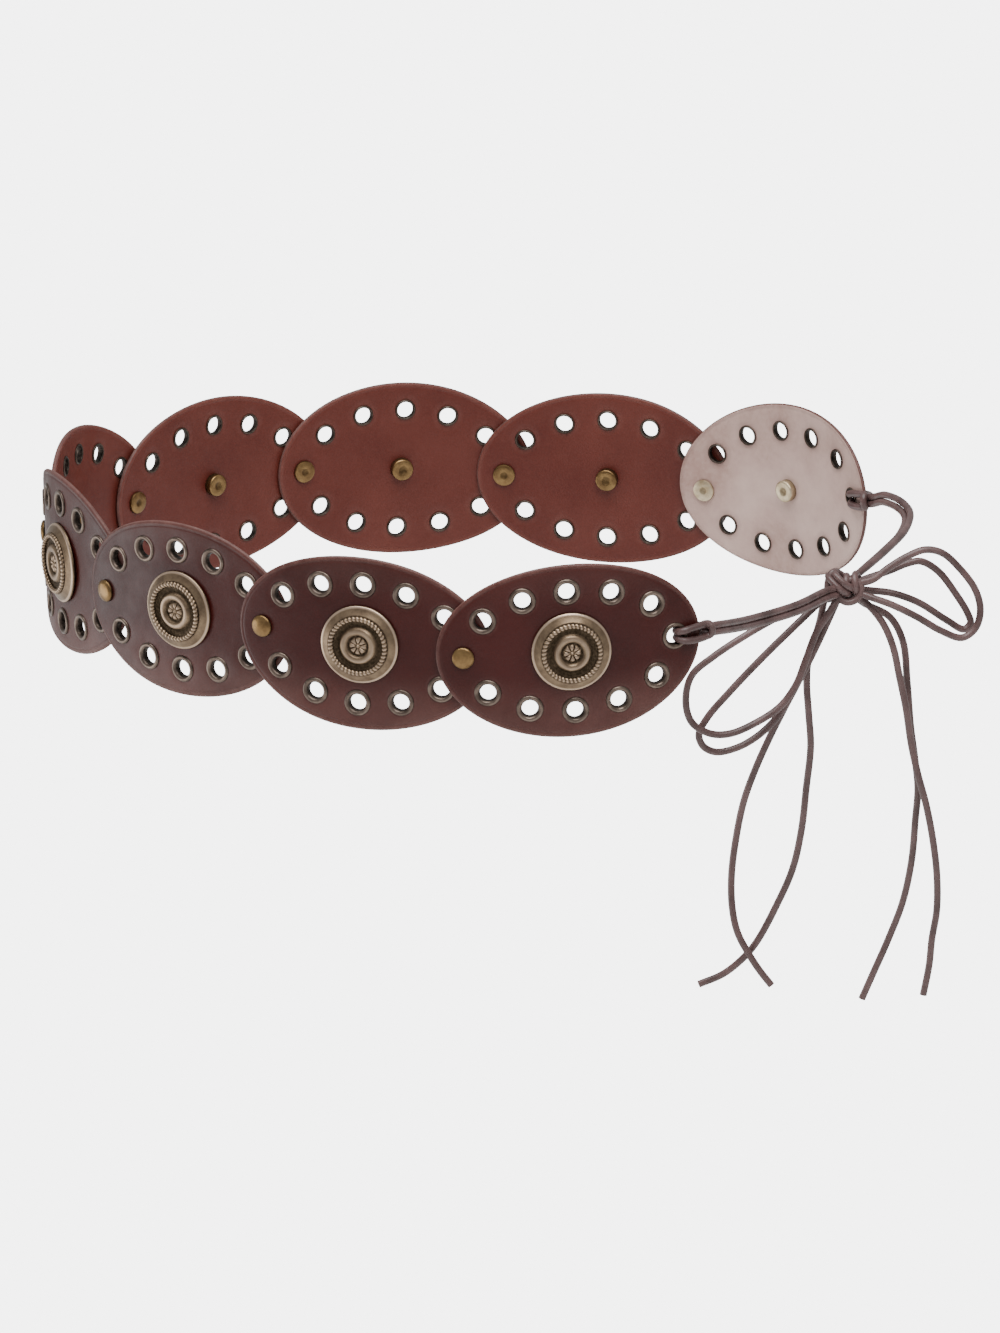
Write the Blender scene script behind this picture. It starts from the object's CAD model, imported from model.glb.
"""Looks for the concho belt: bent leather discs with rolled eyelets, cast brass conchos, rivets and a
leather cord tied in a bow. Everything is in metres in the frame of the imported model."""

import math

import bpy
import numpy as np
from mathutils import Matrix, Vector
from mathutils.geometry import delaunay_2d_cdt


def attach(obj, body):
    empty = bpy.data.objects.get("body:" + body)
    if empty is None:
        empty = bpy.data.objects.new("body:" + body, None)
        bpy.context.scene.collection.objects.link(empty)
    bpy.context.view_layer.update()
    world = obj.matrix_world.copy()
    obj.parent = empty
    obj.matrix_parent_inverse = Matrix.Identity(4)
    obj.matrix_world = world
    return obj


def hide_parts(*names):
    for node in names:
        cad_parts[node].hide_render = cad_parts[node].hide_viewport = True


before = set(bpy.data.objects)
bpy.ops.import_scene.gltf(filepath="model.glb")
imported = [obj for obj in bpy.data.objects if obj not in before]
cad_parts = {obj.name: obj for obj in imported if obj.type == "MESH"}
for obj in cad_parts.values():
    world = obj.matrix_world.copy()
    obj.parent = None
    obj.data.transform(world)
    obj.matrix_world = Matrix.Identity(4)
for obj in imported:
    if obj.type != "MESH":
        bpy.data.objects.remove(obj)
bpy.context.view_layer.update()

MM = 0.001

# Leather discs, as in the model
DISC_LENGTH = 120 * MM
DISC_HEIGHT = 80 * MM
LEATHER = 2.4 * MM
LAP_GAP = 0.3 * MM
RIVET_PITCH = 95 * MM
RING_HEIGHT = 55 * MM
HOLES_ROUND = 12
SEAT_GAP = 0.3 * MM

# The chain clockwise from the front right end: degrees of bend and of climb of each disc
START_HEADING = 203.3
DISCS = [
    {"bend": 32, "slope": -2.2},
    {"bend": 24, "slope": 4.5},
    {"bend": 21, "slope": -0.9},
    {"bend": 39, "slope": 0.6},
    {"bend": 41, "slope": -7.8},
    {"bend": 20, "slope": -2.7},
    {"bend": 31, "slope": -5.7},
    {"bend": 21, "slope": -1.6},
    {"bend": 36, "slope": 8.2},
]
LAST = len(DISCS) - 1

# Fine form of the leather
PUNCHED_RADIUS = 4.5 * MM
SHANK_HOLE_RADIUS = 2.1 * MM
EDGE_ROUNDING = 1.1 * MM
BEVEL_WIDTH = 4 * MM
BEVEL_DROP = 0.35 * MM
CREASE_INSET = 2.2 * MM
CREASE_WIDTH = 0.4 * MM
CREASE_DEPTH = 0.16 * MM
PRESS_DEPTH = 0.22 * MM
PRESS_WIDTH = 3.4 * MM
RIPPLE = 0.12 * MM
RIPPLE_ALONG = 71
RIPPLE_UP = 93
RIPPLE_SHIFT = 1.7

# Wear of the leather: how pale it is along its edge, on a band inside it and beside the metal, and how far
# hands have paled it towards the disc's lower and upper edges, with where that starts and is full
EDGE_WEAR = 0.75
EDGE_WEAR_WIDTH = 0.7 * MM
BAND_WEAR = 0.22
BAND_INSET = 1.3 * MM
BAND_WIDTH = 0.6 * MM
METAL_WEAR = 0.2
LOWER_HANDLING = {"share": 0.42, "start": 8 * MM, "full": 34 * MM}
UPPER_HANDLING = {"share": 0.12, "start": 16 * MM, "full": 38 * MM}
INNER_HANDLING = 0.15

# Fineness of a disc's mesh: points round its edge and its holes, rings in from the edge and out from a
# hole in millimetres, and the grid between them
EDGE_POINTS = 132
HOLE_POINTS = 28
EDGE_RINGS = [0, 0.06, 0.2, 0.42, 0.75, 1.2, 1.6, 1.9, 2.2, 2.5, 2.8, 3.2]
HOLE_RINGS = [0, 0.5, 1.2, 2.1, 3.2]
FAR_FROM_EDGE = 1.0
GRID = 2.5 * MM
GRID_ROW = 0.866 * GRID
GRID_MARGIN = 4.6 * MM
HOLE_MARGIN = 4.6 * MM
EDGE_FACES = 0.5 * MM
INSIDE_HOLE = 0.985

# Metal
CONCHO_RADIUS = 18 * MM
CONCHO_RISE = 4.6 * MM
SHANK_RADIUS = 1.8 * MM
SHANK_SIDES = 20
ROPE_TURNS = 44
PETALS = 8
CAP_RADIUS = 5 * MM
CAP_RISE = 1.9 * MM
FLAT_CAP = 1.2 * MM
BACK_CAP_DEPTH = 3.4 * MM

# Cord
LACE_RADIUS = 1.64 * MM
PAIR_PINCH = 0.09
KNOT_CENTRE = Vector((173, -50, -5.5)) * MM
ROUTE_STEPS = 9
HITCH_STEPS = 8
KNOT_STEPS = 36

# The cord's routes in millimetres, the same as in the model
CORD_ROUTES = {
    "tie_front_upper": [(112.5, -154.3, 9.5), (115.5, -151.5, 9.2), (120, -144, 7.4), (131, -120, 2),
        (151.5, -90, -1.5), (165, -62, -4), (169.5, -55, -5)],
    "tie_front_lower": [(112.5, -154.3, 6), (115.6, -151.5, 5.7), (120.3, -144, 3.9), (131.6, -120, -1.5),
        (152.3, -90.3, -4.9), (165.8, -62.5, -7.4), (170, -55.5, -8.2)],
    "tie_back_upper": [(187, 68.5, -0.4), (189.3, 64.3, 1), (193.5, 57.5, 3.8), (200.5, 45, 4.5),
        (204.5, 30, 3.5), (202, 10, 1.5), (193.5, -14, 0), (184, -35, -1.5), (176.5, -45.5, -4)],
    "tie_back_lower": [(187.1, 68.3, -4), (189, 64.4, -2.6), (192.6, 57.3, 0.2), (198.9, 44.3, 1.2),
        (202, 29.5, 0.9), (199.3, 10.6, -0.6), (190.6, -13.2, -1.9), (181.2, -34.2, -3.6),
        (174.5, -45, -6.5)],
    "bow_loop_front_outer": [(168.5, -53, -6.5), (161.5, -58, -8.5), (146, -66, -13), (130.5, -72, -19.5),
        (114, -77, -28.5), (104, -79, -36.5), (101, -80, -48), (103.5, -79, -58.5), (111.5, -77, -64.5),
        (120, -75, -65.5), (131, -71, -62.5), (143, -67, -56), (150.5, -64, -47), (155, -61, -37),
        (160.5, -58.5, -24), (166.5, -56.5, -15.5), (171, -53, -9)],
    "bow_loop_front_inner": [(167.5, -50, -8.5), (162.5, -50.5, -12.5), (149.5, -56, -23),
        (135, -61, -35.5), (120.5, -66, -49), (110.5, -69, -59.5), (106.5, -70, -67), (108.5, -69, -73),
        (114, -68, -76), (123, -66, -75), (131.5, -63, -71.5), (139.5, -60, -65.5), (147, -57, -56),
        (153, -54, -46), (159.5, -52.5, -34), (166, -52, -20.5), (171, -50.5, -10)],
    "bow_loop_back_outer": [(178, -51, -4.5), (186, -52, -2.5), (193, -50, 2), (201.5, -48, 6.5),
        (210, -46, 9), (217.5, -45, 7), (225, -44, -0.5), (232, -44, -11), (234, -45, -20.5),
        (231.5, -46, -28.5), (225.5, -48, -32), (216, -51, -27.5), (205.5, -53.5, -20),
        (194, -54.5, -13.5), (185.5, -54, -10.2), (177.5, -51.5, -7.5)],
    "bow_loop_back_inner": [(177, -48, -5), (186, -44, -3.4), (194, -42, -1.5), (202, -40, 1),
        (208, -39, 1.5), (215.5, -38, -3.5), (223, -38, -14), (228.5, -38, -24), (229.5, -39, -28),
        (226.5, -40, -30.5), (219, -42, -25.5), (206.5, -43, -16.5), (195, -44, -11.5),
        (186.5, -45, -9.8), (177, -48.5, -7.5)],
    "tie_tail_front_1": [(171.5, -47.5, -10), (168.5, -43.5, -17), (161.5, -44.5, -28.5),
        (156.5, -47, -41), (155.5, -47, -51.5), (156, -47, -65.5), (156.5, -46, -81.5),
        (154, -45, -101.5), (151.5, -44, -120.5), (147, -43, -139.5), (139.5, -42, -156.5),
        (130, -41, -174), (123.5, -40, -182), (114.5, -40, -189), (103.5, -40, -193.5)],
    "tie_tail_front_2": [(170, -46, -6.5), (165.5, -41, -12), (161.5, -40, -27), (153.5, -42, -48.5),
        (145, -43, -64.5), (138, -42, -78.5), (131.5, -41, -93), (126, -40, -108), (122, -40, -125.5),
        (119.5, -41, -143), (119.5, -43, -157.5), (121.5, -45, -168), (126, -46, -177.5),
        (131, -46, -186), (136, -46, -193)],
    "tie_tail_back_1": [(177.5, -49.5, -9.5), (184.5, -50, -15.5), (190.5, -52, -23.5), (194.5, -53, -34),
        (197, -53, -48), (199.5, -53, -62.5), (201.5, -52, -80), (204, -52, -93.5), (207.5, -51, -109),
        (210, -50, -125), (211.5, -49, -143), (211, -48, -159.5), (208.5, -48, -173), (207, -48, -185),
        (204, -48, -199)],
    "tie_tail_back_2": [(176, -47, -9.5), (182, -43, -16), (193.5, -41, -23.5), (199, -42, -34.5),
        (200.5, -44, -53.5), (201.5, -45, -73.5), (203, -45, -88.5), (204, -44, -103),
        (202.5, -43, -118.5), (200.5, -42, -137), (196, -41, -157), (189, -40, -175),
        (181.5, -40, -191.5), (176.5, -40, -202.5)],
}
UPPER_OF = {"tie_front_lower": "tie_front_upper", "tie_back_lower": "tie_back_upper"}

# Half of the cord's hitch through an end hole, in millimetres past the hole, up, and out of the leather
# on the side that shows: from the middle of its bight to where the strand leaves
HITCH_HALF = [(17.3, 0, 3.2), (17.1, 1.4, 3), (16.4, 2.6, 2.2), (14.7, 3, 1.9), (12, 3, 2.9),
    (7, 2.8, 3.5), (3.4, 2.3, 3.5), (1.6, 1.75, 1.8), (1.3, 1.6, -0.6), (2.6, 1.6, -2.6),
    (6, 1.6, -3.1), (10.5, 1.6, -2.9), (13, 1.6, -1.9), (15, 1.6, -0.6)]

# The photograph's frame: its height and scale in pixels, how the camera stands and what it looks at
FRAME_HEIGHT = 1333
PIXELS_PER_MM = 2.229
CAMERA_ELEVATION = 17.1
CAMERA_ROLL = 1.66
CAMERA_DISTANCE = 18.0
SENSOR_HEIGHT = 36
CAMERA_TARGET = Vector((18.5, 0, -54.0)) * MM

# Studio, in metres and watts
SOFTBOXES = [
    {"name": "overhead_softbox", "place": (-0.2, -0.3, 1.5), "size": (1.4, 1.0), "power": 26},
    {"name": "front_softbox", "place": (0.5, -1.2, 1.5), "size": (0.9, 0.9), "power": 15},
]
SHEEN_DISTANCE = 1.2
SHEEN_SIZE = 0.8
SHEEN_POWER = 5
AMBIENT_LIGHT = 0.55
BACKGROUND_GLOW = 5.5
FLOOR_HALF = 8.0
FLOOR_HEIGHT = -0.42


# The chain in plan

def smoothstep(value, low, high):
    share = min(max((value - low) / (high - low), 0), 1)
    return share * share * (3 - 2 * share)


def arc_point(arc, s):
    heading = arc["heading"] + arc["curvature"] * (s - arc["start"])
    x = arc["x"] + (math.sin(heading) - math.sin(arc["heading"])) / arc["curvature"]
    y = arc["y"] - (math.cos(heading) - math.cos(arc["heading"])) / arc["curvature"]
    return x, y, heading


def chain_arcs():
    arcs = []
    x, y, heading, start, z = 0.0, 0.0, math.radians(START_HEADING), 0.0, 0.0
    for disc in DISCS:
        run = RIVET_PITCH * math.cos(math.radians(disc["slope"]))
        rise = RIVET_PITCH * math.sin(math.radians(disc["slope"]))
        curvature = -math.radians(disc["bend"]) / run
        arcs.append({"x": x, "y": y, "z": z, "heading": heading, "start": start, "end": start + run,
                     "curvature": curvature, "rise": rise})
        x, y, heading = arc_point(arcs[-1], start + run)
        start += run
        z += rise
    return arcs


ARCS = chain_arcs()


def chain_centre():
    x, y, _ = arc_point(ARCS[-1], ARCS[-1]["end"])
    xs = [arc["x"] for arc in ARCS] + [x]
    ys = [arc["y"] for arc in ARCS] + [y]
    zs = [arc["z"] for arc in ARCS] + [ARCS[-1]["z"] + ARCS[-1]["rise"]]
    return Vector(((min(xs) + max(xs)) / 2, (min(ys) + max(ys)) / 2, sum(zs) / len(zs)))


CENTRE = chain_centre()
LAP_OFFSET = (LEATHER + LAP_GAP) / 2
LAP_HOLD = (DISC_LENGTH - RIVET_PITCH) / 2 + 4 * MM


def wall_offset(index, s):
    """How far the disc's mid-surface lies outside the chain's curve: inside at its first lap, outside at
    its second."""
    arc = ARCS[index]
    first = LAP_OFFSET if index == 0 else -LAP_OFFSET
    second = -LAP_OFFSET if index == LAST else LAP_OFFSET
    return first + (second - first) * smoothstep(s, arc["start"] + LAP_HOLD, arc["end"] - LAP_HOLD)


def place_on(index, along, up, out=0.0):
    """The matrix of a place on a disc, from its middle: X back along the disc, Y up it, Z out of it."""
    arc = ARCS[index]
    slope = math.radians(DISCS[index]["slope"])
    s = (arc["start"] + arc["end"]) / 2 + along * math.cos(slope) - up * math.sin(slope)
    high = along * math.sin(slope) + up * math.cos(slope)
    carrier = next((a for a in ARCS if s <= a["end"]), ARCS[-1])
    x, y, heading = arc_point(carrier, s)
    step = 0.5 * MM
    drift = (wall_offset(index, s + step) - wall_offset(index, s - step)) / (2 * step)
    turned = heading + math.atan(drift)
    offset = wall_offset(index, s)
    normal = Vector((-math.sin(turned), math.cos(turned), 0))
    back = Vector((-math.cos(turned), -math.sin(turned), 0))
    point = Vector((x - math.sin(heading) * offset, y + math.cos(heading) * offset,
                    arc["z"] + arc["rise"] / 2 + high)) - CENTRE + normal * out
    basis = Matrix((back, Vector((0, 0, 1)), normal)).transposed().to_4x4()
    return Matrix.Translation(point) @ basis @ Matrix.Rotation(-slope, 4, "Z")


def point_on(index, along, up, out=0.0):
    return place_on(index, along, up, out).translation


def hole_places():
    """Twelve places at equal steps of length round the oval, from the first rivet over the top."""
    a, b = RIVET_PITCH / 2, RING_HEIGHT / 2
    steps = 2400
    angles = [math.pi - 2 * math.pi * step / steps for step in range(steps + 1)]
    points = np.array([(a * math.cos(t), b * math.sin(t)) for t in angles])
    length = np.concatenate(([0], np.cumsum(np.linalg.norm(np.diff(points, axis=0), axis=1))))
    wanted = length[-1] * np.arange(HOLES_ROUND) / HOLES_ROUND
    return [tuple(points[np.searchsorted(length, value)]) for value in wanted]


HOLES = hole_places()
FIRST_RIVET = 0
SECOND_RIVET = HOLES_ROUND // 2


def is_riveted(index, hole):
    return (hole == FIRST_RIVET and index > 0) or (hole == SECOND_RIVET and index < LAST)


# Materials

def colour(hex_code):
    """An sRGB hex colour as linear red, green, blue and alpha."""
    channels = [int(hex_code[i:i + 2], 16) / 255 for i in (1, 3, 5)]
    return [c / 12.92 if c <= 0.04045 else ((c + 0.055) / 1.055) ** 2.4 for c in channels] + [1.0]


def add_node(tree, kind, inputs, **settings):
    """A node with its settings. inputs gives each socket a value, or another node's output to link to."""
    node = tree.nodes.new(kind)
    for key, value in settings.items():
        setattr(node, key, value)
    for key, value in inputs.items():
        socket = node.inputs[key]
        if isinstance(value, bpy.types.NodeSocket):
            tree.links.new(value, socket)
        else:
            socket.default_value = value
    return node


def empty_material(name):
    material = bpy.data.materials.new(name)
    material.use_nodes = True
    material.node_tree.nodes.clear()
    return material


def add_patterns(tree, patterns):
    """Noise over a piece. Each pattern has the size of its features in millimetres and its detail, and
    some have the part of the noise that they use and the values that it becomes."""
    place = add_node(tree, "ShaderNodeTexCoord", {}).outputs["Object"]
    made = {}
    for name, row in patterns.items():
        noise = {"Vector": place, "Scale": 1 / (row["size"] * MM), "Detail": row["detail"],
                 "Roughness": 0.55}
        made[name] = add_node(tree, "ShaderNodeTexNoise", noise).outputs[0]
        if "used" in row:
            ends = {"Value": made[name], "From Min": row["used"][0], "From Max": row["used"][1],
                    "To Min": row["becomes"][0], "To Max": row["becomes"][1]}
            made[name] = add_node(tree, "ShaderNodeMapRange", ends).outputs[0]
    return made


def leather_finish(name, deep, worn, edge, roughness):
    """Oiled oxblood saddle leather: deep red brown that goes mauve where it is handled, a fine pebbled
    grain that breaks up its soft gloss, and paler rubbed edges. The grain is drawn at 0.75 mm, coarser
    than it is, so that it shows."""
    material = empty_material(name)
    tree = material.node_tree
    pattern = add_patterns(tree, {
        "patches": {"size": 46, "detail": 5, "used": (0.35, 0.68), "becomes": (0, 1)},
        "flecks": {"size": 2.2, "detail": 4, "used": (0.3, 0.75), "becomes": (0, 0.3)},
        "smudges": {"size": 24, "detail": 4, "used": (0.3, 0.7), "becomes": (0.5, 1)},
        "scuffs": {"size": 3, "detail": 4, "used": (0.3, 0.7), "becomes": (0.4, 1.1)},
        "pores": {"size": 0.5, "detail": 2},
        "creases": {"size": 16, "detail": 3},
        "gloss": {"size": 9, "detail": 4, "used": (0.3, 0.7),
                  "becomes": (roughness - 0.06, roughness + 0.08)},
    })
    layers = [(pattern["patches"], worn), (pattern["flecks"], worn)]
    for attribute, breaks in (("handled", "smudges"), ("rubbed", "scuffs")):
        share = add_node(tree, "ShaderNodeAttribute", {}, attribute_name=attribute).outputs["Fac"]
        broken = add_node(tree, "ShaderNodeMath", {0: share, 1: pattern[breaks]}, operation="MULTIPLY")
        layers.append((broken.outputs[0], edge))
    tone = colour(deep)
    for share, over in layers:
        layer = add_node(tree, "ShaderNodeMix", {0: share, 6: tone, 7: colour(over)}, data_type="RGBA")
        tone = layer.outputs[2]
    place = add_node(tree, "ShaderNodeTexCoord", {}).outputs["Object"]
    pebbles = add_node(tree, "ShaderNodeTexVoronoi", {"Vector": place, "Scale": 1 / (0.75 * MM)},
                       feature="SMOOTH_F1").outputs["Distance"]
    relief = {}
    for height, depth in ((pebbles, 0.03), (pattern["pores"], 0.02), (pattern["creases"], 0.3)):
        bump = add_node(tree, "ShaderNodeBump", {"Height": height, "Distance": depth * MM,
                                                 "Strength": 1, **relief})
        relief = {"Normal": bump.outputs[0]}
    shader = add_node(tree, "ShaderNodeBsdfPrincipled", {"Base Color": tone, "Roughness": pattern["gloss"],
                                                         "Specular IOR Level": 0.28, **relief})
    add_node(tree, "ShaderNodeOutputMaterial", {"Surface": shader.outputs[0]})
    return material


def metal_finish(name, worn, bright, dull, dark, roughness):
    """Cast metal with an aged surface: bright on its worn high places, dull on its faces and dark with
    patina in its recesses, with small casting pits."""
    material = empty_material(name)
    tree = material.node_tree
    pattern = add_patterns(tree, {
        "mottling": {"size": 5, "detail": 5, "used": (0.35, 0.7), "becomes": (0, 1)},
        "patina": {"size": 1.2, "detail": 4, "used": (0.3, 0.7), "becomes": (0.75, 1.1)},
        "pits": {"size": 0.9, "detail": 3},
    })
    recess = add_node(tree, "ShaderNodeAttribute", {}, attribute_name="recess").outputs["Fac"]
    polish = add_node(tree, "ShaderNodeMapRange", {"Value": recess, "From Min": -1, "From Max": 0,
                                                   "To Min": 1, "To Max": 0}).outputs[0]
    sunk = add_node(tree, "ShaderNodeMath", {0: recess, 1: pattern["patina"]},
                    operation="MULTIPLY").outputs[0]
    tone = colour(dull)
    for share, over in ((pattern["mottling"], bright), (polish, worn), (sunk, dark)):
        layer = add_node(tree, "ShaderNodeMix", {0: share, 6: tone, 7: colour(over)}, data_type="RGBA")
        tone = layer.outputs[2]
    gloss = add_node(tree, "ShaderNodeMapRange", {"Value": sunk, "From Min": 0, "From Max": 1,
                                                  "To Min": roughness, "To Max": roughness + 0.25})
    pits = add_node(tree, "ShaderNodeBump", {"Height": pattern["pits"], "Distance": 0.04 * MM,
                                             "Strength": 1})
    shader = add_node(tree, "ShaderNodeBsdfPrincipled", {"Base Color": tone, "Roughness": gloss.outputs[0],
                                                         "Metallic": 0.92, "Normal": pits.outputs[0]})
    add_node(tree, "ShaderNodeOutputMaterial", {"Surface": shader.outputs[0]})
    return material


def cord_finish():
    """Round leather lace: mauve brown, a little darker along its fibres, with a dry soft sheen."""
    material = empty_material("leather_lace")
    tree = material.node_tree
    pattern = add_patterns(tree, {
        "patches": {"size": 12, "detail": 3, "used": (0.3, 0.7), "becomes": (0, 1)},
        "fibres": {"size": 0.5, "detail": 3},
        "gloss": {"size": 4, "detail": 4, "used": (0.3, 0.7), "becomes": (0.3, 0.44)},
    })
    tone = add_node(tree, "ShaderNodeMix", {0: pattern["patches"], 6: colour("#453230"),
                                            7: colour("#674f4d")}, data_type="RGBA").outputs[2]
    fibres = add_node(tree, "ShaderNodeBump", {"Height": pattern["fibres"], "Distance": 0.03 * MM,
                                               "Strength": 1}).outputs[0]
    shader = add_node(tree, "ShaderNodeBsdfPrincipled", {"Base Color": tone, "Normal": fibres,
                                                         "Roughness": pattern["gloss"]})
    add_node(tree, "ShaderNodeOutputMaterial", {"Surface": shader.outputs[0]})
    return material


OUTER_LEATHER = leather_finish("outer_leather", "#330d09", "#421410", "#7d5a53", 0.38)
INNER_LEATHER = leather_finish("inner_leather", "#54211a", "#642f26", "#7d5148", 0.42)
PALE_LEATHER = leather_finish("pale_inner_leather", "#a3837a", "#cfb3a9", "#6a4c45", 0.44)
EDGE_LEATHER = leather_finish("edge_leather", "#3c201e", "#553330", "#77564f", 0.5)
CONCHO_BRASS = metal_finish("antique_brass", "#c9b09a", "#958068", "#705e4c", "#382d20", 0.32)
RIVET_BRASS = metal_finish("rivet_brass", "#c9ad7c", "#977a51", "#705739", "#2d2113", 0.28)
PALE_BRASS = metal_finish("pale_rivet_brass", "#f4ead6", "#dccdb0", "#ad9a7a", "#54452e", 0.42)
EYELET_BRASS = metal_finish("eyelet_metal", "#a8968a", "#85756a", "#5c5048", "#181310", 0.3)
CORD_LEATHER = cord_finish()


# Meshes

def mesh_piece(name, points, faces, finishes, replaced=(), face_finish=None, values=None,
               sharp=40):
    """A mesh that rides on the belt. values holds a number for each point, under an attribute's name."""
    mesh = bpy.data.meshes.new(name)
    mesh.from_pydata([tuple(p) for p in points], [], faces)
    for finish in finishes:
        mesh.materials.append(finish)
    if face_finish is not None:
        mesh.polygons.foreach_set("material_index", face_finish)
    for attribute, numbers in (values or {}).items():
        layer = mesh.attributes.new(attribute, "FLOAT", "POINT")
        layer.data.foreach_set("value", numbers)
    mesh.polygons.foreach_set("use_smooth", [True] * len(mesh.polygons))
    mesh.set_sharp_from_angle(angle=math.radians(sharp))
    mesh.update()
    piece = bpy.data.objects.new(name, mesh)
    bpy.context.scene.collection.objects.link(piece)
    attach(piece, "root")
    if replaced:
        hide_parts(*replaced)
    return piece


def turned(profile, sides, closed=False):
    """Points, faces and each point's recess, for a profile of (radius, height, recess) turned about Z.
    A profile that isn't closed starts and ends on the axis."""
    points, recess, faces, starts = [], [], [], []
    for radius, height, depth in profile:
        starts.append(len(points))
        count = 1 if radius == 0 else sides
        for side in range(count):
            angle = 2 * math.pi * side / sides
            points.append((radius * math.cos(angle), radius * math.sin(angle), height))
            recess.append(depth)
    pairs = list(zip(range(len(profile)), range(1, len(profile))))
    if closed:
        pairs.append((len(profile) - 1, 0))
    for low, high in pairs:
        for side in range(sides):
            after = (side + 1) % sides
            ring = [starts[low] + (side if profile[low][0] else 0),
                    starts[low] + (after if profile[low][0] else 0),
                    starts[high] + (after if profile[high][0] else 0),
                    starts[high] + (side if profile[high][0] else 0)]
            faces.append(list(dict.fromkeys(ring)))
    return points, faces, recess


def moved(points, matrix):
    return [matrix @ Vector(p) for p in points]


# Leather discs

def oval_ring(inset, count):
    """Points round a disc's edge, moved in by a distance."""
    a, b = DISC_LENGTH / 2, DISC_HEIGHT / 2
    ring = []
    for step in range(count):
        angle = 2 * math.pi * step / count
        x, y = a * math.cos(angle), b * math.sin(angle)
        normal = Vector((x / a ** 2, y / b ** 2)).normalized()
        ring.append((x - normal.x * inset, y - normal.y * inset))
    return ring


def disc_holes(index):
    holes = [(x, y, SHANK_HOLE_RADIUS if is_riveted(index, hole) else PUNCHED_RADIUS)
             for hole, (x, y) in enumerate(HOLES)]
    return holes + [(0.0, 0.0, SHANK_HOLE_RADIUS)]


def grid_points(holes):
    """Points of the disc that are clear of its edge and its holes."""
    rows = int(DISC_HEIGHT / GRID)
    points = []
    for row in range(-rows, rows + 1):
        for column in range(-rows, rows + 1):
            x, y = (column + 0.5 * (row % 2)) * GRID, row * GRID_ROW
            out = math.hypot(x / (DISC_LENGTH / 2 - GRID_MARGIN), y / (DISC_HEIGHT / 2 - GRID_MARGIN))
            clear = all(math.hypot(x - hx, y - hy) > radius + HOLE_MARGIN for hx, hy, radius in holes)
            if out < 1 and clear:
                points.append((x, y))
    return points


def flat_disc(index):
    """The disc laid flat: its points, its triangles, how far each point is from the edge, how far it is
    pressed in by the metal beside it, and the loops round its edge and holes."""
    holes = disc_holes(index)
    points, edge, pressed = [], [], []
    loops = [list(range(EDGE_POINTS))]
    for inset in EDGE_RINGS:
        points += oval_ring(inset * MM, EDGE_POINTS)
        edge += [inset * MM] * EDGE_POINTS
        pressed += [0.0] * EDGE_POINTS
    for x, y, radius in holes:
        loops.append(list(range(len(points), len(points) + HOLE_POINTS)))
        for rim in HOLE_RINGS:
            reach = radius + rim * MM
            for side in range(HOLE_POINTS):
                angle = 2 * math.pi * side / HOLE_POINTS
                points.append((x + reach * math.cos(angle), y + reach * math.sin(angle)))
            edge += [FAR_FROM_EDGE] * HOLE_POINTS
            pressed += [1 - smoothstep(rim * MM, PRESS_WIDTH * 0.3, PRESS_WIDTH)] * HOLE_POINTS
    grid = grid_points(holes)
    points += grid
    edge += [FAR_FROM_EDGE] * len(grid)
    pressed += [0.0] * len(grid)
    borders = [(loop[i], loop[(i + 1) % len(loop)]) for loop in loops for i in range(len(loop))]
    verts, _, faces, sources, _, _ = delaunay_2d_cdt([Vector(p) for p in points], borders, [], 0, 1e-9)
    order = [source[0] for source in sources]
    triangles = []
    for face in faces:
        centre = sum((verts[v] for v in face), Vector((0, 0))) / 3
        if all(math.hypot(centre.x - hx, centre.y - hy) > radius * INSIDE_HOLE for hx, hy, radius in holes):
            triangles.append([order[v] for v in face])
    return points, triangles, edge, pressed, loops


def crease(inset):
    """The depth of the line that is pressed round a disc, inside its edge."""
    return CREASE_DEPTH * math.exp(-((inset - CREASE_INSET) / CREASE_WIDTH) ** 2)


def ripple_at(index, along, up):
    """The slight waviness of worn leather, different on each disc."""
    return RIPPLE * math.sin(along * RIPPLE_ALONG + index * RIPPLE_SHIFT) * math.cos(up * RIPPLE_UP + index)


def rubbed_at(inset, pressed):
    edge = EDGE_WEAR * math.exp(-inset / EDGE_WEAR_WIDTH)
    band = BAND_WEAR * math.exp(-((inset - BAND_INSET) / BAND_WIDTH) ** 2)
    return edge + band + METAL_WEAR * pressed


def handled_at(up):
    return sum(side["share"] * smoothstep(reach, side["start"], side["full"])
               for side, reach in ((LOWER_HANDLING, -up), (UPPER_HANDLING, up)))


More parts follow.
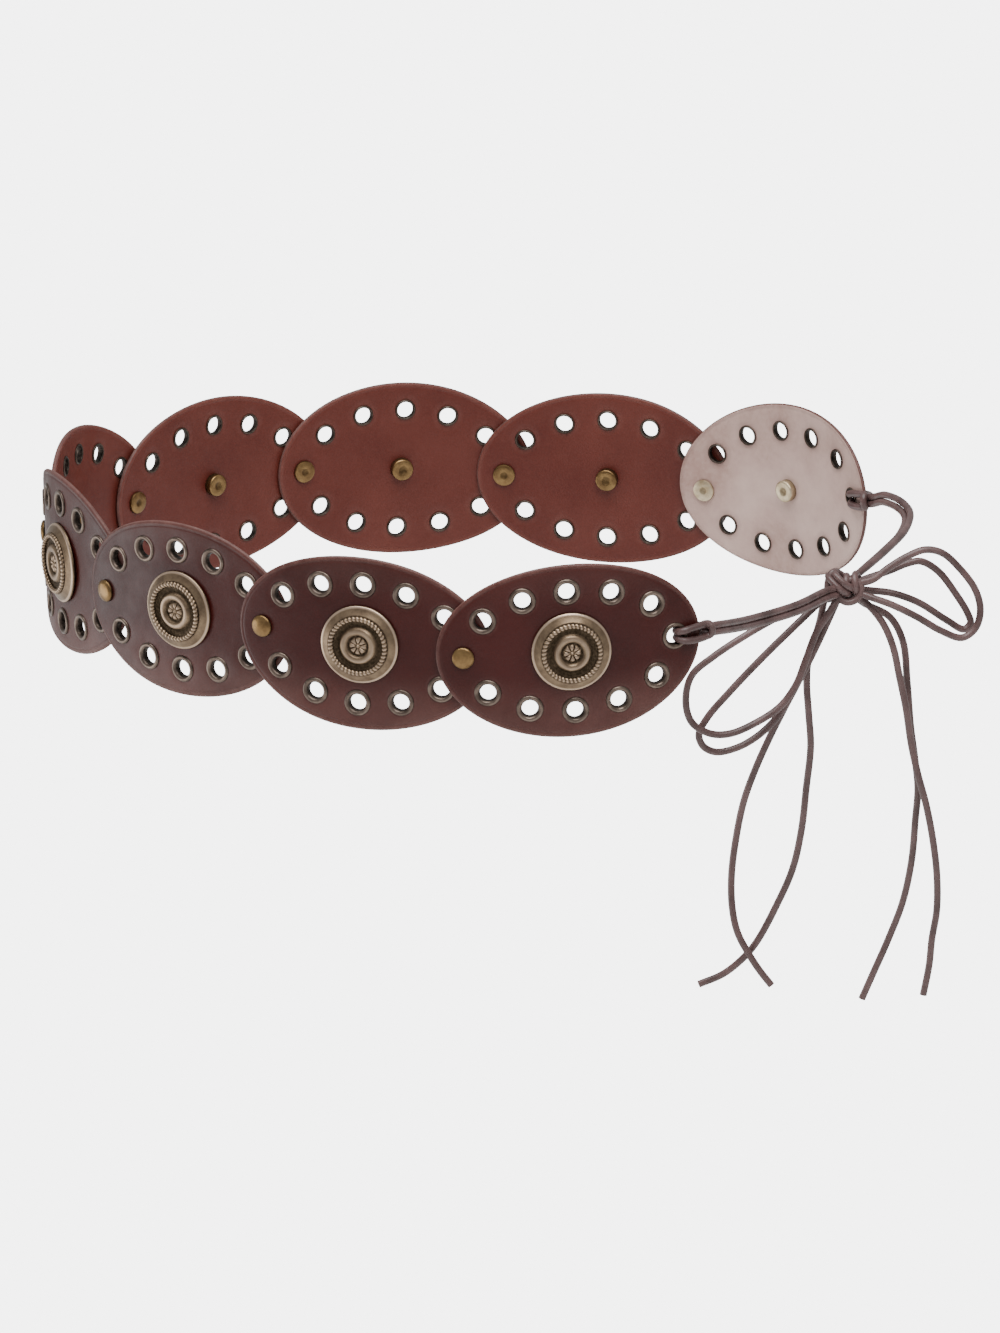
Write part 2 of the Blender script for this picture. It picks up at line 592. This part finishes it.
def disc_piece(index):
    """A bent disc of one skin: rounded, bevelled and creased outside, plain inside."""
    points, triangles, edge, pressed, loops = flat_disc(index)
    rim = set(loops[0])
    outer, inner, inner_of = [], [], {}
    for number, (along, up) in enumerate(points):
        inset = edge[number]
        rounding = min(inset / EDGE_ROUNDING, 1)
        half = LEATHER / 2 * math.sqrt(1 - (1 - rounding) ** 2)
        bevel = BEVEL_DROP * max(1 - inset / BEVEL_WIDTH, 0) ** 2
        press = PRESS_DEPTH * pressed[number] + crease(inset)
        ripple = ripple_at(index, along, up)
        outer.append(point_on(index, along, up, half - min(bevel, half) - press + ripple))
        if number in rim:
            inner_of[number] = number
        else:
            inner_of[number] = len(points) + len(inner)
            inner.append(point_on(index, along, up, -half + press * 0.5 + ripple))
    rubbed = [rubbed_at(inset, press) for inset, press in zip(edge, pressed)]
    handled = [handled_at(up) for _, up in points]
    within = [number for number in range(len(points)) if number not in rim]
    rubbed += [rubbed[number] for number in within]
    handled += [handled[number] * INNER_HANDLING for number in within]
    inner_leather = PALE_LEATHER if index == LAST else INNER_LEATHER
    finishes = [OUTER_LEATHER, inner_leather, EDGE_LEATHER]
    outside, inside, cut = range(len(finishes))
    faces, face_finish = [], []
    for a, b, c in triangles:
        at_edge = max(edge[a], edge[b], edge[c]) < EDGE_FACES
        faces += [(b, a, c), (inner_of[a], inner_of[b], inner_of[c])]
        face_finish += [cut, cut] if at_edge else [outside, inside]
    for loop in loops[1:]:
        for start, end in zip(loop, loop[1:] + loop[:1]):
            faces.append((start, end, inner_of[end], inner_of[start]))
            face_finish.append(cut)
    name = f"disc_{index + 1}"
    return mesh_piece(f"leather_{name}", outer + inner, faces, finishes, [name], face_finish,
                      {"rubbed": rubbed, "handled": handled}, sharp=50)


# Eyelets, with a rolled flange outside the leather and a thin curled rim inside it

EYELET_PROFILE = [
    {"radius": 6.1, "height": 0.0, "recess": 0.75},
    {"radius": 6.05, "height": 0.32, "recess": 0.35},
    {"radius": 5.75, "height": 0.64, "recess": 0.05},
    {"radius": 5.3, "height": 0.8, "recess": 0},
    {"radius": 4.8, "height": 0.76, "recess": 0},
    {"radius": 4.35, "height": 0.52, "recess": 0.15},
    {"radius": 3.98, "height": 0.1, "recess": 0.5},
    {"radius": 3.74, "height": -0.6, "recess": 0.85},
    {"radius": 3.66, "height": -2.2, "recess": 1},
    {"radius": 3.7, "height": -2.6, "recess": 0.9},
    {"radius": 3.9, "height": -2.85, "recess": 0.7},
    {"radius": 4.25, "height": -2.9, "recess": 0.5},
    {"radius": 4.6, "height": -2.7, "recess": 0.6},
    {"radius": 4.7, "height": -2.4, "recess": 0.8},
    {"radius": 4.4, "height": -2.3, "recess": 1},
    {"radius": 4.35, "height": -0.3, "recess": 1},
    {"radius": 4.9, "height": -0.02, "recess": 1},
]
EYELET_SIDES = 28


def eyelets_piece(index):
    profile = [(row["radius"] * MM, row["height"] * MM, row["recess"]) for row in EYELET_PROFILE]
    ring, ring_faces, ring_recess = turned(profile, EYELET_SIDES, closed=True)
    points, faces, recess = [], [], []
    for hole, (along, up) in enumerate(HOLES):
        if is_riveted(index, hole):
            continue
        start = len(points)
        points += moved(ring, place_on(index, along, up, LEATHER / 2 - PRESS_DEPTH))
        faces += [[corner + start for corner in face] for face in ring_faces]
        recess += ring_recess
    return mesh_piece(f"eyelets_disc_{index + 1}", points, faces, [EYELET_BRASS],
                      values={"recess": recess}, sharp=60)


# Conchos. Radii are shares of a concho's radius and heights are shares of its rise.

CONCHO_PROFILE = [
    {"radius": 1.0, "height": 0.0, "recess": 0.8},
    {"radius": 1.0, "height": 0.12, "recess": 0.45},
    {"radius": 0.985, "height": 0.2, "recess": -0.8},
    {"radius": 0.955, "height": 0.26, "recess": -0.7},
    {"radius": 0.925, "height": 0.3, "recess": 0.3},
    {"radius": 0.86, "height": 0.46, "recess": 0.2},
    {"radius": 0.8, "height": 0.6, "recess": 0.15},
    {"radius": 0.78, "height": 0.66, "recess": 0.45},
    {"radius": 0.755, "height": 0.63, "recess": 0.85},
    {"radius": 0.645, "height": 0.64, "recess": 0.8},
    {"radius": 0.57, "height": 0.56, "recess": 1.0},
    {"radius": 0.5, "height": 0.56, "recess": 1.0},
    {"radius": 0.47, "height": 0.7, "recess": 0.4},
    {"radius": 0.44, "height": 0.84, "recess": 0.1},
    {"radius": 0.4, "height": 0.9, "recess": -0.4},
    {"radius": 0.34, "height": 0.9, "recess": -0.2},
    {"radius": 0.295, "height": 0.84, "recess": 0.3},
    {"radius": 0.27, "height": 0.66, "recess": 0.9},
    {"radius": 0.24, "height": 0.6, "recess": 1.0},
]
CONCHO_SIDES = 96
ROPE_RADIUS = 0.7
ROPE_WIDTH = 0.068
ROPE_HEIGHT = 0.72
ROPE_SIDES = 10
STEPS_PER_TURN = 7
ROSETTE_RADIUS = 0.24
ROSETTE_GROUND = 0.6
ROSETTE_RISE = 0.27
ROSETTE_RINGS = 12
PETAL_MIDDLE = 0.58
PETAL_HALF = 0.4
BOSS_RADIUS = 0.22


def rosette_height(radius, angle):
    """Height and recess on the concho's ground: eight rounded petals round a low boss."""
    reach = radius / (ROSETTE_RADIUS * CONCHO_RADIUS)
    petal = abs(math.cos(PETALS * angle / 2)) ** 0.45
    body = max(1 - ((reach - PETAL_MIDDLE) / PETAL_HALF) ** 2, 0) ** 0.7 * petal
    boss = max(1 - (reach / BOSS_RADIUS) ** 2, 0)
    relief = max(body * 0.8, boss)
    return ROSETTE_GROUND + ROSETTE_RISE * relief, 1 - min(relief * 1.6, 1) * 1.4


def concho_piece(index):
    face = LEATHER / 2 + SEAT_GAP
    profile = [(row["radius"] * CONCHO_RADIUS, face + row["height"] * CONCHO_RISE, row["recess"])
               for row in CONCHO_PROFILE]
    points, faces, recess = turned(profile, CONCHO_SIDES)
    add_rosette(points, faces, recess, face)
    faces.append(list(range(CONCHO_SIDES))[::-1])
    add_rope(points, faces, recess, face)
    add_shank(points, faces, recess, face)
    name = f"concho_{index + 1}"
    return mesh_piece(f"cast_{name}", moved(points, place_on(index, 0, 0)), faces, [CONCHO_BRASS],
                      [name], values={"recess": recess}, sharp=70)


def add_rosette(points, faces, recess, face):
    """Rings of points from the profile's last one in to the middle."""
    previous = len(points) - CONCHO_SIDES
    for ring in range(1, ROSETTE_RINGS + 1):
        radius = ROSETTE_RADIUS * CONCHO_RADIUS * (1 - ring / ROSETTE_RINGS)
        start = len(points)
        count = 1 if ring == ROSETTE_RINGS else CONCHO_SIDES
        for side in range(count):
            angle = 2 * math.pi * side / CONCHO_SIDES
            height, depth = rosette_height(radius, angle)
            points.append((radius * math.cos(angle), radius * math.sin(angle), face + height * CONCHO_RISE))
            recess.append(depth)
        for side in range(CONCHO_SIDES):
            after = (side + 1) % CONCHO_SIDES
            corners = [previous + side, previous + after, start + after, start + side]
            faces.append(corners if count > 1 else [previous + side, previous + after, start])
        previous = start


def add_rope(points, faces, recess, face):
    """A ring of twisted rope round the concho: a round bead with slanted grooves."""
    steps = ROPE_TURNS * STEPS_PER_TURN
    start = len(points)
    for step in range(steps):
        angle = 2 * math.pi * step / steps
        for side in range(ROPE_SIDES):
            turn = 2 * math.pi * side / ROPE_SIDES
            groove = abs(math.sin((ROPE_TURNS * angle + turn) / 2))
            thick = ROPE_WIDTH * CONCHO_RADIUS * (0.72 + 0.36 * groove ** 0.6)
            radius = ROPE_RADIUS * CONCHO_RADIUS + thick * math.cos(turn)
            height = face + ROPE_HEIGHT * CONCHO_RISE + thick * math.sin(turn)
            points.append((radius * math.cos(angle), radius * math.sin(angle), height))
            top = max(math.sin(turn), 0)
            recess.append(0.9 - 1.4 * groove * (0.5 + 0.7 * top))
    for step in range(steps):
        here, after = start + step * ROPE_SIDES, start + (step + 1) % steps * ROPE_SIDES
        for side in range(ROPE_SIDES):
            next_side = (side + 1) % ROPE_SIDES
            faces.append([here + side, after + side, after + next_side, here + next_side])


def add_shank(points, faces, recess, face):
    end = -face - BACK_CAP_DEPTH * 0.6
    profile = [(0, face, 0.8), (SHANK_RADIUS, face, 0.8), (SHANK_RADIUS, end, 0.8), (0, end, 0.8)]
    post, post_faces, post_recess = turned(profile, SHANK_SIDES)
    start = len(points)
    points += post
    faces += [[corner + start for corner in reversed(corners)] for corners in post_faces]
    recess += post_recess


# Caps and rivets. Each end's rows go out from its middle, inward is how far a row lies in from the end,
# and both are in millimetres.

BACK_CAP_END = [
    {"radius": 0, "inward": 0.5, "recess": 0.6},
    {"radius": 1.3, "inward": 0.45, "recess": 0.6},
    {"radius": 1.9, "inward": 0.08, "recess": 0.35},
    {"radius": 2.2, "inward": 0, "recess": 0.05},
    {"radius": 4.2, "inward": 0, "recess": 0.05},
    {"radius": 4.7, "inward": 0.15, "recess": 0},
    {"radius": 4.95, "inward": 0.5, "recess": 0.1},
    {"radius": 5, "inward": 1, "recess": 0.25},
]
FLAT_CAP_END = [
    {"radius": 0, "inward": 0.35, "recess": 0.6},
    {"radius": 1.2, "inward": 0.3, "recess": 0.6},
    {"radius": 1.6, "inward": 0.03, "recess": 0.35},
    {"radius": 1.9, "inward": 0, "recess": 0},
    {"radius": 4.4, "inward": 0, "recess": 0},
    {"radius": 4.85, "inward": 0.2, "recess": 0},
    {"radius": 5, "inward": 0.6, "recess": 0.2},
]
DOME_ANGLES = [(0, 0.5), (0.25, 0.25), (0.55, 0.1), (0.85, 0), (1.1, 0), (1.3, 0)]
DOME_SIDE = 0.5 * MM
CAP_SIDES = 40
CAP_SOCKET_RADIUS = 2.1 * MM
CAP_SOCKET_DEPTH = 1.2 * MM


def cap_end(rows, end):
    return [(row["radius"] * MM, end + row["inward"] * MM, row["recess"]) for row in rows]


def back_cap_piece(index):
    """The plain turned cap on the inner side, with a softened edge and a shallow dimple."""
    face = -LEATHER / 2 - SEAT_GAP
    socket = face - CAP_SOCKET_DEPTH
    profile = [*cap_end(BACK_CAP_END, face - BACK_CAP_DEPTH), (CAP_RADIUS, face, 0.9),
               (CAP_SOCKET_RADIUS, face, 1), (CAP_SOCKET_RADIUS, socket, 1), (0, socket, 1)]
    points, faces, recess = turned(profile, CAP_SIDES)
    name = f"concho_cap_{index + 1}"
    brass = PALE_BRASS if index == LAST else RIVET_BRASS
    return mesh_piece(f"turned_{name}", moved(points, place_on(index, 0, 0)), faces, [brass],
                      [name], values={"recess": recess}, sharp=45)


def link_rivet_piece(index):
    """A rivet through two laps: a domed cap with a small flat outside, a flat one with a punched ring
    inside."""
    face = LEATHER + LAP_GAP / 2 + SEAT_GAP
    dome = [(CAP_RADIUS * math.cos(angle), face + DOME_SIDE + (CAP_RISE - DOME_SIDE) * math.sin(angle), depth)
            for angle, depth in DOME_ANGLES]
    profile = [*cap_end(FLAT_CAP_END, -face - FLAT_CAP), (CAP_RADIUS, -face, 0.8), (SHANK_RADIUS, -face, 1),
               (SHANK_RADIUS, face, 1), (CAP_RADIUS, face, 0.8), *dome, (0, face + CAP_RISE, 0)]
    points, faces, recess = turned(profile, CAP_SIDES)
    place = place_on(index, *HOLES[SECOND_RIVET], -LAP_OFFSET)
    name = f"link_rivet_{index + 1}"
    brass = PALE_BRASS if index == LAST - 1 else RIVET_BRASS
    return mesh_piece(f"turned_{name}", moved(points, place), faces, [brass], [name],
                      values={"recess": recess}, sharp=45)


# Cord

def smooth_route(route, per_span=ROUTE_STEPS):
    """A centripetal Catmull-Rom curve through the route's points, as the model's tubes follow."""
    points = [Vector(p) for p in route]
    points = [2 * points[0] - points[1], *points, 2 * points[-1] - points[-2]]
    line = []
    for p0, p1, p2, p3 in zip(points, points[1:], points[2:], points[3:]):
        t1 = (p1 - p0).length ** 0.5
        t2 = t1 + (p2 - p1).length ** 0.5
        t3 = t2 + (p3 - p2).length ** 0.5
        for step in range(per_span):
            t = t1 + (t2 - t1) * step / per_span
            a1 = p0 * (t1 - t) / t1 + p1 * t / t1
            a2 = p1 * (t2 - t) / (t2 - t1) + p2 * (t - t1) / (t2 - t1)
            a3 = p2 * (t3 - t) / (t3 - t2) + p3 * (t - t2) / (t3 - t2)
            b1 = a1 * (t2 - t) / t2 + a2 * t / t2
            b2 = a2 * (t3 - t) / (t3 - t1) + a3 * (t - t1) / (t3 - t1)
            line.append(b1 * (t2 - t) / (t2 - t1) + b2 * (t - t1) / (t2 - t1))
    line.append(points[-2])
    return line


def cord_curve(name, lines, cyclic=False):
    """A round lace along one or more lines."""
    curve = bpy.data.curves.new(name, "CURVE")
    curve.dimensions = "3D"
    curve.bevel_depth = LACE_RADIUS
    curve.bevel_resolution = 5
    curve.use_fill_caps = True
    for line in lines:
        spline = curve.splines.new("POLY")
        spline.points.add(len(line) - 1)
        for point, place in zip(spline.points, line):
            point.co = (*place, 1)
        spline.use_cyclic_u = cyclic
        spline.use_smooth = True
    curve.materials.append(CORD_LEATHER)
    piece = bpy.data.objects.new(name, curve)
    bpy.context.scene.collection.objects.link(piece)
    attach(piece, "root")
    return piece


def strand_route(name):
    """A strand's route. The lower strand of a tie is drawn a little nearer its pair, to lie against it."""
    route = [Vector(point) for point in CORD_ROUTES[name]]
    if name not in UPPER_OF:
        return route
    above = CORD_ROUTES[UPPER_OF[name]]
    return [point.lerp(Vector(other), PAIR_PINCH) for point, other in zip(route, above)]


def cord_piece(name):
    line = [point * MM for point in smooth_route(strand_route(name))]
    piece = cord_curve(f"lace_{name}", [line])
    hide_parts(name)
    return piece


def hitch_piece(name, index, towards, strands):
    """The cord's bight through an end hole. towards is -1 at the chain's first end, whose outer face
    shows, and 1 at its last, whose inner face shows."""
    half = smooth_route(HITCH_HALF, HITCH_STEPS)
    whole = [Vector((p.x, -p.y, p.z)) for p in reversed(half)] + half[1:]
    start = towards * RIVET_PITCH / 2
    line = [point_on(index, start + towards * p.x * MM, p.y * MM, -towards * p.z * MM) for p in whole]
    upper, lower = (strand_route(strand)[0] * MM for strand in strands)
    piece = cord_curve(f"lace_{name}", [[lower, *line, upper]])
    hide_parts(name)
    return piece


# Each turn of the knot: its middle from the knot's and the two half axes of the oval that it runs along,
# in millimetres. The first two are the pair that crosses in front, the next two the bights beside it.
KNOT_TURNS = [
    {"middle": (-2.2, -0.6, 0.9), "across": (4.4, 0, -4), "through": (0, 5.6, 0)},
    {"middle": (0.2, -0.4, 2.9), "across": (4.2, 0, -3.6), "through": (0, 5.4, 0)},
    {"middle": (2.8, -3, -1.7), "across": (5.2, 0.4, 0.6), "through": (0, 1.2, 4.8)},
    {"middle": (-5, -2.2, 2.2), "across": (2, 0.8, 0.6), "through": (0.6, 1, 4.6)},
    {"middle": (-0.5, 0.6, -1), "across": (4.4, 0, 0.8), "through": (0, 4.2, 0)},
    {"middle": (0.4, 0, 0), "across": (1.2, 0, 4.4), "through": (0, 4, 0)},
    {"middle": (1.8, 0.4, -2.6), "across": (3.2, 1.6, 0), "through": (0, 1, 2.6)},
    {"middle": (6, 0.6, 0.6), "across": (0.8, 4.2, 0), "through": (-0.5, 0, 4.4)},
    {"middle": (-4.4, 1, -2.8), "across": (1.6, 3.6, -1), "through": (2.4, 0, 3.6)},
]


def knot_piece():
    lines = []
    for turn in KNOT_TURNS:
        ring = []
        for step in range(KNOT_STEPS):
            angle = 2 * math.pi * step / KNOT_STEPS
            reach = Vector(turn["across"]) * math.cos(angle) + Vector(turn["through"]) * math.sin(angle)
            ring.append((reach + Vector(turn["middle"])) * MM + KNOT_CENTRE)
        lines.append(ring)
    piece = cord_curve("lace_bow_knot", lines, cyclic=True)
    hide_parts("bow_knot")
    return piece


# Camera, lights and floor

def add_camera():
    """A long lens at the photograph's angle, so that the picture is almost without perspective."""
    data = bpy.data.cameras.new("camera")
    data.sensor_fit = "VERTICAL"
    data.sensor_height = SENSOR_HEIGHT
    data.lens = SENSOR_HEIGHT * CAMERA_DISTANCE / (FRAME_HEIGHT / PIXELS_PER_MM * MM)
    data.clip_end = 5 * CAMERA_DISTANCE
    camera = bpy.data.objects.new("camera", data)
    elevation, roll = math.radians(CAMERA_ELEVATION), math.radians(CAMERA_ROLL)
    backward = Vector((0, -math.cos(elevation), math.sin(elevation)))
    level_up = Vector((0, math.sin(elevation), math.cos(elevation)))
    level_right = Vector((1, 0, 0))
    right = level_right * math.cos(roll) - level_up * math.sin(roll)
    up = level_up * math.cos(roll) + level_right * math.sin(roll)
    camera.matrix_world = (Matrix.Translation(CAMERA_TARGET + backward * CAMERA_DISTANCE)
                           @ Matrix((right, up, backward)).transposed().to_4x4())
    bpy.context.scene.collection.objects.link(camera)
    bpy.context.scene.camera = camera


def add_softbox(name, place, target, size, power):
    data = bpy.data.lights.new(name, "AREA")
    data.shape = "RECTANGLE"
    data.size, data.size_y = size
    data.energy = power
    light = bpy.data.objects.new(name, data)
    light.location = place
    light.rotation_euler = (Vector(target) - Vector(place)).to_track_quat("-Z", "Y").to_euler()
    bpy.context.scene.collection.objects.link(light)


def add_sheen_light():
    """A softbox that the last disc's inner face mirrors towards the camera, which greys its leather."""
    face = place_on(LAST, 0, 0, -LEATHER / 2)
    normal = -face.col[2].to_3d()
    towards_camera = (bpy.context.scene.camera.location - face.translation).normalized()
    mirrored = 2 * normal.dot(towards_camera) * normal - towards_camera
    place = face.translation + mirrored * SHEEN_DISTANCE
    add_softbox("sheen_softbox", place, face.translation, (SHEEN_SIZE, SHEEN_SIZE), SHEEN_POWER)


def floor_finish():
    """Matt white paper, lit from behind where the camera sees it, as a studio's background is."""
    material = empty_material("white_floor")
    tree = material.node_tree
    paper = add_node(tree, "ShaderNodeBsdfDiffuse", {"Color": colour("#fbfbfa")}).outputs[0]
    glow = add_node(tree, "ShaderNodeEmission", {"Color": colour("#ffffff"), "Strength": BACKGROUND_GLOW})
    seen = add_node(tree, "ShaderNodeLightPath", {}).outputs["Is Camera Ray"]
    both = add_node(tree, "ShaderNodeMixShader", {0: seen, 1: paper, 2: glow.outputs[0]})
    add_node(tree, "ShaderNodeOutputMaterial", {"Surface": both.outputs[0]})
    return material


def add_surroundings():
    world = bpy.data.worlds.new("studio")
    world.use_nodes = True
    background = world.node_tree.nodes["Background"]
    background.inputs["Color"].default_value = (1, 1, 1, 1)
    background.inputs["Strength"].default_value = AMBIENT_LIGHT
    bpy.context.scene.world = world
    for box in SOFTBOXES:
        add_softbox(box["name"], box["place"], (0, 0, 0), box["size"], box["power"])
    add_sheen_light()
    mesh = bpy.data.meshes.new("floor")
    signs = [(-1, -1), (1, -1), (1, 1), (-1, 1)]
    corners = [(x * FLOOR_HALF, y * FLOOR_HALF, FLOOR_HEIGHT) for x, y in signs]
    mesh.from_pydata(corners, [], [(0, 1, 2, 3)])
    mesh.materials.append(floor_finish())
    floor = bpy.data.objects.new("floor", mesh)
    bpy.context.scene.collection.objects.link(floor)


# The whole belt

add_camera()
FRONT_STRANDS = ("tie_front_upper", "tie_front_lower")
BACK_STRANDS = ("tie_back_upper", "tie_back_lower")
pieces_on = {
    "tie_front_lower": [knot_piece()],
    "tie_front_upper": [hitch_piece("tie_hitch_front", 0, -1, FRONT_STRANDS)],
    "tie_back_upper": [hitch_piece("tie_hitch_back", LAST, 1, BACK_STRANDS)],
}
for cord_name in CORD_ROUTES:
    cord_piece(cord_name)

for number in range(len(DISCS)):
    disc_piece(number)
    eyelets_piece(number)
    concho_piece(number)
    back_cap_piece(number)
    if number < LAST:
        link_rivet_piece(number)

add_surroundings()
